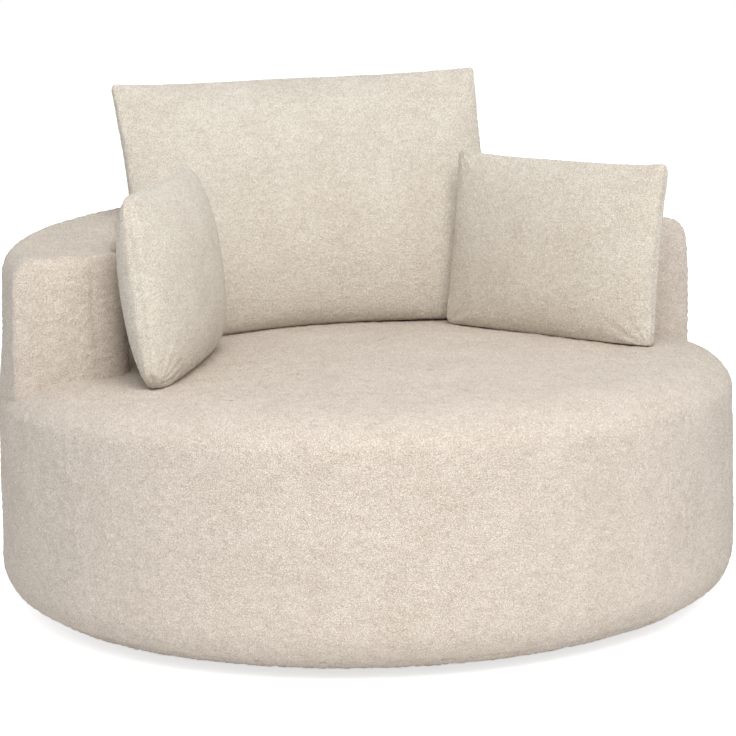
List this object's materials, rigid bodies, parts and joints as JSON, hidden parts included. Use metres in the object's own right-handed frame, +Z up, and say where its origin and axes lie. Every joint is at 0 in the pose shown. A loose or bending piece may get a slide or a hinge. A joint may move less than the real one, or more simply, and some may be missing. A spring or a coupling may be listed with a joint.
{
  "type": "round lounge chair",
  "caption": "Round upholstered drum lounge chair with a low half-ring back, loose scatter cushions and a hidden swivel base.",
  "frame": {"origin": "on the floor, on the swivel axis, under the middle of the drum", "axes": "+Z up, +Y towards the back, +X to the sitter's left seen from the front, which is the right of a viewer who faces the chair"},
  "size_m": [1.3, 1.3, 0.9057],
  "materials": {
    "boucle_fabric": "beige looped pile fabric, matt",
    "upholstery_foam": "cut polyurethane foam",
    "fibre_fill": "white polyester fibre",
    "zip_plastic": "beige nylon coil zip",
    "webbing": "black elastic webbing",
    "felt": "grey felt",
    "dust_cloth": "black non-woven cloth",
    "pine": "sawn softwood",
    "plywood": "plain plywood",
    "plinth_board": "black painted board",
    "fibreboard": "thin bent fibreboard",
    "black_plastic": "moulded black plastic",
    "steel": "zinc-plated steel"
  },
  "bodies": {
    "base": {"base_plinth": "plinth_board", "centre_bolt": "steel", "centre_nut": "steel", "centre_washer": "black_plastic", "floor_glide_1": "black_plastic", "floor_glide_2": "black_plastic", "floor_glide_3": "black_plastic", "floor_glide_4": "black_plastic", "floor_glide_5": "black_plastic", "floor_glide_6": "black_plastic", "swivel_lower_plate": "steel"},
    "ball_cage": {"swivel_ball_cage": "steel"},
    "seat": {"back_cover": "boucle_fabric", "back_foam": "upholstery_foam", "back_inner_liner": "fibreboard", "back_outer_liner": "fibreboard", "back_post_1": "pine", "back_post_2": "pine", "back_post_3": "pine", "back_post_4": "pine", "back_post_5": "pine", "back_post_6": "pine", "back_top_rail": "plywood", "deck_board": "plywood", "dust_cloth": "dust_cloth", "frame_upright_1": "pine", "frame_upright_2": "pine", "frame_upright_3": "pine", "frame_upright_4": "pine", "frame_upright_5": "pine", "frame_upright_6": "pine", "frame_upright_7": "pine", "frame_upright_8": "pine", "seat_cover": "boucle_fabric", "seat_foam": "upholstery_foam", "seat_ring": "plywood", "side_padding": "upholstery_foam", "swivel_upper_plate": "steel", "wall_liner": "fibreboard", "webbing_across_1": "webbing", "webbing_across_2": "webbing", "webbing_across_3": "webbing", "webbing_across_4": "webbing", "webbing_along_1": "webbing", "webbing_along_2": "webbing", "webbing_along_3": "webbing", "webbing_along_4": "webbing", "webbing_pad": "felt"},
    "back_cushion": {"back_cushion_cover": "boucle_fabric", "back_cushion_fill": "fibre_fill", "back_cushion_zip": "zip_plastic"},
    "left_cushion": {"left_cushion_cover": "boucle_fabric", "left_cushion_fill": "fibre_fill", "left_cushion_zip": "zip_plastic"},
    "right_cushion": {"right_cushion_cover": "boucle_fabric", "right_cushion_fill": "fibre_fill", "right_cushion_zip": "zip_plastic"}
  },
  "joints": [
    {"name": "seat_swivel", "type": "hinge", "parent": "base", "child": "seat", "pos_m": [0, 0, 0.03], "axis": [0, 0, 1], "continuous": true},
    {"name": "ball_cage_turn", "type": "hinge", "parent": "base", "child": "ball_cage", "pos_m": [0, 0, 0.03], "axis": [0, 0, 1], "continuous": true},
    {"name": "back_cushion_lift", "type": "slide", "parent": "seat", "child": "back_cushion", "axis": [0.0044, 0.3156, 0.9489], "range_m": [0, 0.3]},
    {"name": "left_cushion_lift", "type": "slide", "parent": "seat", "child": "left_cushion", "axis": [-0.0847, 0.0485, 0.9952], "range_m": [0, 0.3]},
    {"name": "right_cushion_lift", "type": "slide", "parent": "seat", "child": "right_cushion", "axis": [0.1028, 0.0587, 0.993], "range_m": [0, 0.3]}
  ],
  "couplings": [
    {"joint": "ball_cage_turn", "follows": "seat_swivel", "ratio": 0.5}
  ]
}
